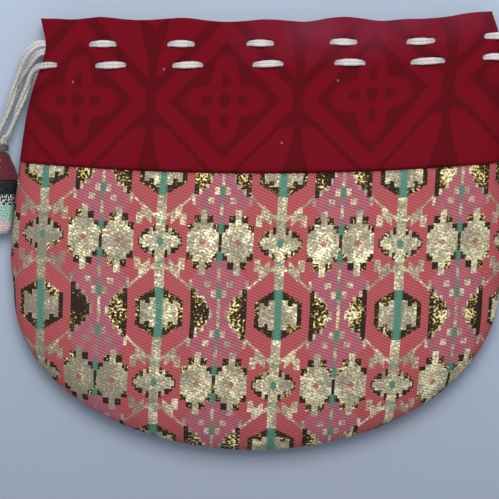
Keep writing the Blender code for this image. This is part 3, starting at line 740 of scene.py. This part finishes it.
def finer_sheet(name, bm):
    """The same sheet with each of its faces cut into sixteen, along smooth curves."""
    draft = in_scene(name + "_draft", bm)
    finer = draft.modifiers.new("Finer", "SUBSURF")
    finer.levels = finer.render_levels = 2
    finer.boundary_smooth = "PRESERVE_CORNERS"
    depsgraph = bpy.context.evaluated_depsgraph_get()
    finished = bpy.data.meshes.new_from_object(draft.evaluated_get(depsgraph))
    bpy.data.objects.remove(draft)
    bm = bmesh.new()
    bm.from_mesh(finished)
    bm.verts.index_update()
    return bm


def slit_sheet(front, upper, lower):
    """A flat sheet of the yoke's outline, with its slits along both rows cut out."""
    upper_places, cells = slit_columns(UPPER_DASHES, UPPER_DASH_LENGTH, upper)
    lower_places = slit_columns(LOWER_DASHES, LOWER_DASH_LENGTH, lower)[0]
    columns, rows = len(upper_places) - 1, ROWS_BELOW + ROWS_BETWEEN + ROWS_ABOVE
    bm, across, up = grid(columns, rows)
    column, row = np.rint(across * columns).astype(int), np.rint(up * rows).astype(int)
    over = np.clip((row - ROWS_BELOW - 1) / 2, 0, 1)
    share = (1 - over) * lower_places[column] + over * upper_places[column]
    x, y = share * YOKE_SEAM_HALF_WIDTH, np.zeros_like(share)
    for _ in range(2):
        for line in range(rows + 1):
            here = row == line
            y[here] = row_height(line, x[here], lower, upper)
        x = share * half_width(y)
    slits = [(cell, slit_row) for cell in cells[1:-1] for slit_row in (LOWER_SLIT_ROW, UPPER_SLIT_ROW)]
    if front:
        slits += [(cells[0], LOWER_SLIT_ROW), (cells[-1], LOWER_SLIT_ROW), (cells[-1], UPPER_SLIT_ROW)]
    gone = []
    for face in bm.faces:
        middle = face.calc_center_median()
        if (math.floor((middle.x + 0.5) * columns), math.floor((middle.y + 0.5) * rows)) in slits:
            gone.append(face)
    for vert in bm.verts:
        vert.co = (x[vert.index], y[vert.index], 0)
    bmesh.ops.delete(bm, geom=gone, context="FACES_ONLY")
    return bm


def yoke_panel(name, front, finish):
    drop = 0 if front else BACK_ROW_DROP
    upper, lower = UPPER_ROW - drop, LOWER_ROW - drop
    bm = finer_sheet(name, slit_sheet(front, upper, lower))
    x, y, _ = np.array([vert.co for vert in bm.verts]).T
    surface = front_surface if front else back_surface
    out = 1 if front else -1
    flat = printed(*laid_flat(x, y, surface))
    share = edge_share(x, y)
    fold, hem = near(y - yoke_seam(x), 0.0006), near(mouth_edge(x) - y, 0.0006)
    dents = 0.0004 * crumple(x, y, 0.026, 3.3 if front else 8.2)
    soft = slit_pull(x, y, upper, lower) + dents - 0.0006 * fold - 0.0003 * hem
    z = surface(x, y) + out * soft * (1 - share**6)
    x = np.where(share > 0.9999, x * (1 - SEAM_TURN / half_width(y)), x)
    if not front:
        bmesh.ops.reverse_faces(bm, faces=bm.faces)
    return cloth_piece(name, bm, x, y, z, flat, YOKE_WALL, finish)


front_yoke = yoke_panel("front_yoke", True, cotton)
back_yoke = yoke_panel("back_yoke", False, cotton)
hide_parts("front_yoke_panel")
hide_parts("back_yoke_panel")


# Drawcords. Four lengths of soft cream cotton cord, each of two plies, woven in and out of the
# slits. All four are bound into the tassel at each side, so pulling one shuts the mouth.

CORD_DIAMETER = 0.0030
CORD_RADIUS_MM = CORD_DIAMETER / 2 * 1000
STRIDE, DIP_LENGTH, RUN_INSET = 0.0020, 0.0018, 0.0006
TASSEL_AXIS, TASSEL_TOP, TASSEL_LEVEL = 0.1217, 0.0676, 0.0082
STRAND_SPACING = 0.0034
PLY_RADIUS, PLIES_APART, STRAND_START = 0.00092, 0.00070, 0.050
TWIST_LENGTH, SLIT_PINCH = 0.055, 0.16
RING_SPACING, CORD_SIDES = 0.0011, 20
UPPER_FRONT_STRAND = (
    (0.1020, 0.1156, 0.0101), (0.1064, 0.1152, 0.0104), (0.1104, 0.1116, 0.0108), (0.1129, 0.1064, 0.0110),
    (0.1147, 0.0995, 0.0109), (0.1168, 0.0910, 0.0106), (0.1191, 0.0820, 0.0102), (0.1219, 0.0740, 0.0099),
)
UPPER_SLIT_STRAND = (
    (0.1010, 0.1151, 0.0160), (0.1053, 0.1149, 0.0150), (0.1098, 0.1122, 0.0138), (0.1122, 0.1070, 0.0126),
    (0.1142, 0.0995, 0.0114), (0.1166, 0.0910, 0.0107), (0.1191, 0.0820, 0.0102), (0.1219, 0.0740, 0.0099),
)
UPPER_BACK_STRAND = (
    (0.1020, 0.1119, 0.0099), (0.1058, 0.1108, 0.0093), (0.1091, 0.1066, 0.0084), (0.1118, 0.1020, 0.0077),
    (0.1140, 0.0970, 0.0073), (0.1162, 0.0910, 0.0069), (0.1190, 0.0820, 0.0066), (0.1219, 0.0740, 0.0065),
)
LOWER_FRONT_STRAND = (
    (0.1015, 0.1054, 0.0161), (0.1054, 0.1046, 0.0150), (0.1083, 0.1016, 0.0136), (0.1095, 0.0965, 0.0121),
    (0.1113, 0.0909, 0.0112), (0.1136, 0.0848, 0.0106), (0.1157, 0.0783, 0.0101), (0.1179, 0.0722, 0.0099),
)
LOWER_BACK_STRAND = (
    (0.1054, 0.1018, 0.0099), (0.1079, 0.1002, 0.0092), (0.1094, 0.0965, 0.0081), (0.1113, 0.0909, 0.0072),
    (0.1135, 0.0848, 0.0068), (0.1156, 0.0783, 0.0066), (0.1179, 0.0722, 0.0065),
)

twine = Finish("cream_cotton_cord", Roughness=0.9, Specular_IOR_Level=0.2, Sheen_Weight=0.25)
twine_map = twine.flat_cloth()
round_mm, along_mm, _ = twine.parts(twine_map)
yarns = (along_mm * 4.2 + round_mm * 3.4).maths("SINE") * 0.5 + 0.5
fluff = twine.cloud(twine_map, 1.3, 4.0)
groove = twine.fade(abs((round_mm / CORD_RADIUS_MM).maths("COSINE")), 0.42, 0.04)
# Over its first 40 to 56 mm, by the left tassel, the cord is a darker, greyer cream, and the painted shade
# between its yarns and in the groove between its plies is deeper there.
by_left_tassel = twine.fade(along_mm, 56.0, 40.0)
tufts = twine.fade(fluff, 0.35, 0.65)
main_cream = twine.mix(tufts, dyed(196, 187, 183), dyed(225, 217, 213))
left_end_cream = twine.mix(tufts, dyed(150, 146, 138), dyed(205, 200, 190))
twine_shade = (1 - yarns) * 0.10 + groove * (0.30 + by_left_tassel * 0.4)
twine.show(
    twine.mix(twine_shade, twine.mix(by_left_tassel, main_cream, left_end_cream), dyed(172, 162, 160), "MULTIPLY"),
    height=yarns * 0.25 + fluff * 0.6 - groove * 0.3, depth=0.00012,
)


def weave(x, spans):
    """1 where the cord runs outside the cloth and -1 where it runs inside."""
    outside = sum((np.tanh((x - a) / DIP_LENGTH) - np.tanh((x - b) / DIP_LENGTH)) / 2 for a, b in spans)
    return 2 * outside - 1


def woven_run(row, front, dashes, dash_length, ends):
    """The cord's points through the slits of one row, from left to right."""
    spans = [(dash - dash_length / 2, dash + dash_length / 2) for dash in dashes]
    spans += [(-0.2, LEFT_EXIT)] * (ends[0] < LEFT_EXIT) + [(RIGHT_EXIT, 0.2)] * (ends[1] > RIGHT_EXIT)
    x = np.linspace(ends[0], ends[1], 150)
    level = (front_surface if front else back_surface)(x, row + 0 * x)
    out = 1 if front else -1
    z = level + out * (STRIDE * weave(x, spans) - RUN_INSET)
    y = row + 0.0002 * np.sin(x * 190.0 + row * 900)
    return [Vector(point) for point in zip(x, y, z)]


def smoothed(points, spacing):
    """Points at an even spacing along a smooth curve through a route's own points."""
    fine = []
    for i in range(len(points) - 1):
        before, after = points[max(i - 1, 0)], points[min(i + 2, len(points) - 1)]
        a, b = points[i], points[i + 1]
        for k in range(12):
            t = k / 12
            fine.append(0.5 * (2 * a + (b - before) * t + (2 * before - 5 * a + 4 * b - after) * t**2
                               + (3 * a - before - 3 * b + after) * t**3))
    fine = np.array([*fine, points[-1]])
    lengths = np.concatenate([[0], np.cumsum(np.linalg.norm(np.diff(fine, axis=0), axis=1))])
    places = np.linspace(0, lengths[-1], max(2, round(lengths[-1] / spacing)))
    return [Vector([np.interp(place, lengths, fine[:, i]) for i in range(3)]) for place in places]


def strand(route, side, outer, above):
    """A route from the cloth into one side's tassel, at its own place in the binding."""
    half = STRAND_SPACING / 2
    x = TASSEL_AXIS + (half if outer else -half)
    z = TASSEL_LEVEL + (half if above else -half)
    points = [Vector(point) for point in route]
    points += [Vector((x, TASSEL_TOP + 0.0030, z)), Vector((x, TASSEL_TOP + 0.0003, z))]
    return [Vector((side * point.x, point.y, point.z)) for point in points]


def twisted_cord(name, node, points):
    """Two plies side by side along the route, flat in the slits and turning in the loose strands."""
    route = smoothed(points, RING_SPACING)
    centres = np.array(route)
    length = np.concatenate([[0], np.cumsum(np.linalg.norm(np.diff(centres, axis=0), axis=1))])
    ahead = np.gradient(centres, axis=0)
    ahead /= np.linalg.norm(ahead, axis=1)[:, None]
    up_side = np.array([0, 0, 1.0]) - ahead * ahead[:, 2:3]
    up_side /= np.linalg.norm(up_side, axis=1)[:, None]
    flank = np.cross(ahead, up_side)
    loose = np.maximum(0, STRAND_START - length) + np.maximum(0, length - (length[-1] - STRAND_START))
    twist = 0.18 * np.sin(length * 130.0) + loose * 2 * np.pi / TWIST_LENGTH

    bm, around, along = grid(CORD_SIDES, len(route) - 1)
    ring = np.rint(along * (len(route) - 1)).astype(int)
    turn = around * 2 * np.pi
    reach = PLIES_APART * np.abs(np.cos(turn)) + np.sqrt(PLY_RADIUS**2 - (PLIES_APART * np.sin(turn)) ** 2)
    reach *= 1 - SLIT_PINCH * smooth_step(0.25, 0.70, np.abs(ahead[ring, 2]))
    angle = turn + twist[ring]
    outwards = np.cos(angle)[:, None] * flank[ring] + np.sin(angle)[:, None] * up_side[ring]
    places = centres[ring] + reach[:, None] * outwards
    mapped(bm, turn * CORD_RADIUS_MM, length[ring] * 1000)
    for vert in bm.verts:
        vert.co = places[vert.index]
    bmesh.ops.remove_doubles(bm, verts=bm.verts, dist=0.000001)
    bmesh.ops.holes_fill(bm, edges=[edge for edge in bm.edges if edge.is_boundary], sides=0)
    bmesh.ops.recalc_face_normals(bm, faces=bm.faces)
    piece = in_scene(name, bm, twine)
    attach(piece, "root")
    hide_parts(node)
    return piece, route, float(length[-1])


for name, front, upper_row, ends, left_route, right_route in (
    ("upper_front", True, True, (-0.0945, 0.0989), UPPER_FRONT_STRAND, UPPER_SLIT_STRAND),
    ("upper_back", False, True, (-0.0945, 0.0945), UPPER_BACK_STRAND, UPPER_BACK_STRAND),
    ("lower_front", True, False, (-0.0998, 0.0989), LOWER_FRONT_STRAND, LOWER_FRONT_STRAND),
    ("lower_back", False, False, (-0.0975, 0.0975), LOWER_BACK_STRAND, LOWER_BACK_STRAND),
):
    row = (UPPER_ROW if upper_row else LOWER_ROW) - (0 if front else BACK_ROW_DROP)
    dashes = UPPER_DASHES if upper_row else LOWER_DASHES
    run = woven_run(row, front, dashes, UPPER_DASH_LENGTH if upper_row else LOWER_DASH_LENGTH, ends)
    left, right = strand(left_route, -1, upper_row, front), strand(right_route, 1, upper_row, front)
    x, y, z = np.array([*reversed(left), *run, *right]).T
    points = [Vector(point) for point in zip(*draped(x, y), z)]
    twisted_cord(f"{name}_cord", f"{name}_drawcord", points)


# Tassels. Each is a stuffed cone of ribbed maroon cloth over a stuffed skirt of banded print, bound
# to the four cords with dark thread, with a row of small white beads sewn down its front.

TASSEL_RADIUS, TASSEL_TIP_RADIUS = 0.0081, 0.0050
BINDING_LENGTH, BINDING_RADIUS = 0.0030, 0.0041
WRAPS, WRAP_PITCH, WRAP_DEPTH, WRAP_START = 13, 0.00022, 0.0004, 0.0001
CONE_LENGTH, CONE_TOP_RADIUS = 0.0130, 0.0031
TASSEL_SEAM = 0.0003
SKIRT_LENGTH, SKIRT_TOP = 0.0252, BINDING_LENGTH + CONE_LENGTH + 2 * TASSEL_SEAM
# Shares of the swell, or of the narrowing, at shares of the way down.
CONE_PROFILE = (
    (-0.15, 0), (0.16, 0.08), (0.40, 0.28), (0.68, 0.5), (0.90, 0.76), (1.0, 0.93), (0.94, 1.0),
)
SKIRT_PROFILE = (
    (0.06, 0), (0.08, 0.05), (0.40, 0.24), (0.52, 0.29), (0.60, 0.42), (0.72, 0.62), (0.86, 0.80),
    (1.05, 0.91), (1.55, 0.98), (2.2, 1.0),
)
SPECKLED_BAND, MINT_BAND, PINK_BAND = 6.4, 11.4, 18.4
BEADS, FIRST_BEAD, BEAD_SPACING, BEAD_RADIUS = 8, 0.0072, 0.0033, 0.00062
# Distances down the tassel, and its radius there.
BEAD_SEATS = (
    (0.0030, 0.0031), (0.0065, 0.0049), (0.0098, 0.0065), (0.0134, 0.0077), (0.0154, 0.0081),
    (0.0222, 0.0068), (0.0300, 0.0062),
)


def hung_from(side):
    """The top of a tassel, where its cords come together."""
    return [float(place) for place in draped(np.array(side * TASSEL_AXIS), np.array(TASSEL_TOP))]


def turned(name, node, profile, steps, pleats, side, finish):
    """A round soft piece on the tassel's axis, from (radius, distance down) pairs, with pleats."""
    bm = bmesh.new()
    chain = [bm.verts.new((radius, 0, -down)) for radius, down in profile]
    edges = [bm.edges.new(pair) for pair in zip(chain, chain[1:])]
    bmesh.ops.spin(
        bm, geom=chain + edges, axis=(0, 0, 1), cent=(0, 0, 0), angle=2 * math.pi, steps=steps,
        use_merge=True,
    )
    bmesh.ops.remove_doubles(bm, verts=bm.verts, dist=0.000001)
    layer = bm.loops.layers.uv.new("cloth")
    for face in bm.faces:
        face.smooth = True
        middle = face.calc_center_median()
        facing = math.atan2(middle.y, middle.x)
        for loop in face.loops:
            x, y, z = loop.vert.co
            angle = math.atan2(y, x) if math.hypot(x, y) > 0.00001 else facing
            angle += 2 * math.pi * round((facing - angle) / (2 * math.pi))
            loop[layer].uv = (angle * TASSEL_RADIUS * 1000, -z * 1000)
    across, up = hung_from(side)
    for vert in bm.verts:
        x, y, z = vert.co
        swell = 1 + pleats(math.atan2(y, x), -z)
        vert.co = (across + x * swell, up + z, TASSEL_LEVEL - y * swell)
    bmesh.ops.recalc_face_normals(bm, faces=bm.faces)
    piece = in_scene(name, bm, finish)
    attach(piece, "root")
    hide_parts(node)
    return piece


def lofted(pairs, count):
    """More (radius, distance down) pairs on a smooth line through these, closed at both ends."""
    radii, downs = np.array(pairs).T
    fine = np.linspace(downs[0], downs[-1], count)
    line = curve_through(list(zip(downs, radii)), fine)
    return [(0, downs[0]), *zip(line, fine), (0, downs[-1])]


binding_thread = Finish("binding_thread", Roughness=0.8)
binding_map = binding_thread.flat_cloth()
binding_grain = binding_thread.cloud(binding_map, 2.6, 3.0)
binding_thread.show(
    binding_thread.mix(binding_thread.fade(binding_grain, 0.50, 0.62), dyed(44, 46, 50), dyed(150, 148, 140)),
    height=binding_grain, depth=0.0001,
)

ribbed = Finish("ribbed_maroon", Roughness=0.85, Sheen_Weight=0.1)
ribbed_map = ribbed.flat_cloth()
_, ribbed_down, _ = ribbed.parts(ribbed_map)
ribbing = (ribbed_down * 7.4).maths("SINE") * 0.5 + 0.5
ribbed_fleck = ribbed.cloud(ribbed_map, 1.8, 3.0)
# Painted shade: the cone is darker in the troughs between its ribs.
ribbed_colour = ribbed.mix(ribbing, dyed(66, 13, 24), dyed(100, 18, 27))
ribbed_colour = ribbed.mix(ribbed.fade(ribbed_fleck, 0.56, 0.68) * 0.7, ribbed_colour, dyed(136, 30, 34))
ribbed.show(ribbed_colour, height=ribbing * 0.8 + ribbed_fleck * 0.4, depth=0.00018)

banded = Finish("banded_print", Roughness=0.82, Specular_IOR_Level=0.25)
banded_map = banded.flat_cloth()
banded_round, banded_down, _ = banded.parts(banded_map)
flecks, fine_flecks = (
    banded.node(
        "ShaderNodeTexVoronoi", {"voronoi_dimensions": "2D"},
        {"Vector": banded_map, "Scale": scale, "Randomness": 0.7},
    )
    for scale in (0.80, 0.85)
)
down_skirt = banded_down + (banded.cloud(banded_map, 0.8) - 0.5) - SKIRT_TOP * 1000
one_way = ((banded_round + banded_down) / 1.9).maths("PINGPONG", 0.5)
other_way = ((banded_round - banded_down) / 1.9).maths("PINGPONG", 0.5)
speckles = (down_skirt > SPECKLED_BAND) & (flecks < 0.34)
black = banded.mix(speckles, dyed(28, 31, 38), dyed(206, 212, 208))
mint = banded.mix((one_way & other_way) < 0.12, dyed(150, 192, 172), dyed(74, 122, 104))
mint = banded.mix(fine_flecks < 0.22, mint, dyed(212, 222, 212))
pink = banded.mix(fine_flecks < 0.26, dyed(202, 186, 184), dyed(150, 66, 104))
banded_colour = banded.mix(down_skirt > MINT_BAND, black, mint)
banded_colour = banded.mix(down_skirt > PINK_BAND, banded_colour, pink)
banded.show(banded_colour, height=banded.cloud(banded_map, 2.2, 3.0), depth=0.00012)

beads_finish = Finish("white_bead", Roughness=0.35)
beads_grain = beads_finish.cloud(beads_finish.node("ShaderNodeTexCoord", {}, {}, "Object"), 900.0)
beads_finish.show(beads_finish.mix(beads_grain, dyed(206, 200, 196), dyed(232, 228, 224)))


def wound(angle, down):
    return 0.01 * math.sin(3 * angle + down * 2000)


def cone_ribs(angle, down):
    return 0.012 * math.sin(12 * angle)


def skirt_pleats(angle, down):
    share = min(1, max(0, (down - SKIRT_TOP + TASSEL_SEAM) / SKIRT_LENGTH))
    dents = noise.noise(Vector((math.cos(angle), math.sin(angle), down * 160)))
    return 0.028 * math.sin(math.pi * share) * math.sin(9 * angle + 40 * down) + 0.015 * dents


wraps = [(BINDING_RADIUS - WRAP_DEPTH * (k % 2), WRAP_START + k * WRAP_PITCH) for k in range(WRAPS)]
swell, cone_top = TASSEL_RADIUS - CONE_TOP_RADIUS, BINDING_LENGTH + TASSEL_SEAM
cone_line = [
    (CONE_TOP_RADIUS + share * swell, cone_top + down * CONE_LENGTH) for share, down in CONE_PROFILE
]
narrowing = TASSEL_RADIUS - TASSEL_TIP_RADIUS
skirt_line = [
    (TASSEL_RADIUS - share * narrowing, SKIRT_TOP + down * SKIRT_LENGTH) for share, down in SKIRT_PROFILE
]

for side_name, side in (("left", -1), ("right", 1)):
    binding = turned(
        f"{side_name}_binding", f"tassel_binding_{side_name}", [(0, WRAP_START), *wraps, (0, wraps[-1][1])],
        32, wound, side, binding_thread,
    )
    cone = turned(
        f"{side_name}_cone", f"tassel_cone_{side_name}", lofted(cone_line, 34),
        48, cone_ribs, side, ribbed,
    )
    skirt = turned(
        f"{side_name}_skirt", f"tassel_skirt_{side_name}", lofted(skirt_line, 56),
        48, skirt_pleats, side, banded,
    )
    bm = bmesh.new()
    across, up = hung_from(side)
    for k in range(BEADS):
        down = FIRST_BEAD + BEAD_SPACING * k
        seat = float(np.interp(down, *zip(*BEAD_SEATS)))
        place = Matrix.Translation((across, up - down, TASSEL_LEVEL + seat + 0.0001))
        flattened = place @ Matrix.Diagonal((1, 1, 0.7, 1))
        bmesh.ops.create_icosphere(bm, subdivisions=2, radius=BEAD_RADIUS, matrix=flattened)
    for face in bm.faces:
        face.smooth = True
    beads = in_scene(f"{side_name}_beads", bm, beads_finish)
    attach(beads, "root")


# Studio. A plain pale floor under the pouch, with painted shade that darkens it towards the bottom, one large
# soft lamp and even light from all round, and the camera straight above, a little towards the mouth.

floor_finish = Finish("pale_floor", Roughness=0.5, Specular_IOR_Level=0.3)
floor_place = floor_finish.node("ShaderNodeTexCoord", {}, {}, "Object")
floor_up = floor_finish.parts(floor_place)[1]
# Painted shade: the floor darkens towards the bottom, where the lamp's light falls off.
uneven_up = floor_up + floor_finish.cloud(floor_place, 5.0, 1.0) * 0.03
painted_falloff_shade = floor_finish.fade(uneven_up, -0.12, 0.09)
floor_finish.show(floor_finish.mix(painted_falloff_shade, dyed(148, 155, 167), dyed(170, 182, 198)))
just_below = Matrix.Translation((0, 0, -0.0001))
bm = bmesh.new()
bmesh.ops.create_grid(bm, x_segments=1, y_segments=1, size=3.0, matrix=just_below)
floor = in_scene("floor", bm, floor_finish)

world = bpy.data.worlds.new("studio")
world.use_nodes = True
background = world.node_tree.nodes["Background"]
background.inputs["Color"].default_value = dyed(205, 214, 226)
background.inputs["Strength"].default_value = 0.75
bpy.context.scene.world = world

lamp_data = bpy.data.lights.new("soft_lamp", "AREA")
lamp_data.shape, lamp_data.size, lamp_data.energy = "SQUARE", 0.6, 9.0
lamp = bpy.data.objects.new("soft_lamp", lamp_data)
lamp.location = (0.03, 0.50, 1.0)
lamp.rotation_euler = (Vector((0, 0.02, 0)) - lamp.location).to_track_quat("-Z", "Y").to_euler()
bpy.context.scene.collection.objects.link(lamp)

CAMERA_HEIGHT, CAMERA_TILT = 1.10, math.radians(3)
AIM = Vector((-0.0019, 0.0189, SIDE_SEAM_LEVEL))
PHOTO_WIDTH, SENSOR_WIDTH = 499 * CHART_UNIT / 1000, 36.0
camera_data = bpy.data.cameras.new("camera")
camera_data.sensor_width = SENSOR_WIDTH
camera_data.lens = SENSOR_WIDTH * CAMERA_HEIGHT / PHOTO_WIDTH
camera = bpy.data.objects.new("camera", camera_data)
camera.location = AIM + CAMERA_HEIGHT * Vector((0, math.sin(CAMERA_TILT), math.cos(CAMERA_TILT)))
camera.rotation_euler = (-CAMERA_TILT, 0, 0)
bpy.context.scene.collection.objects.link(camera)
bpy.context.scene.camera = camera
bpy.context.scene.view_settings.view_transform = "Standard"
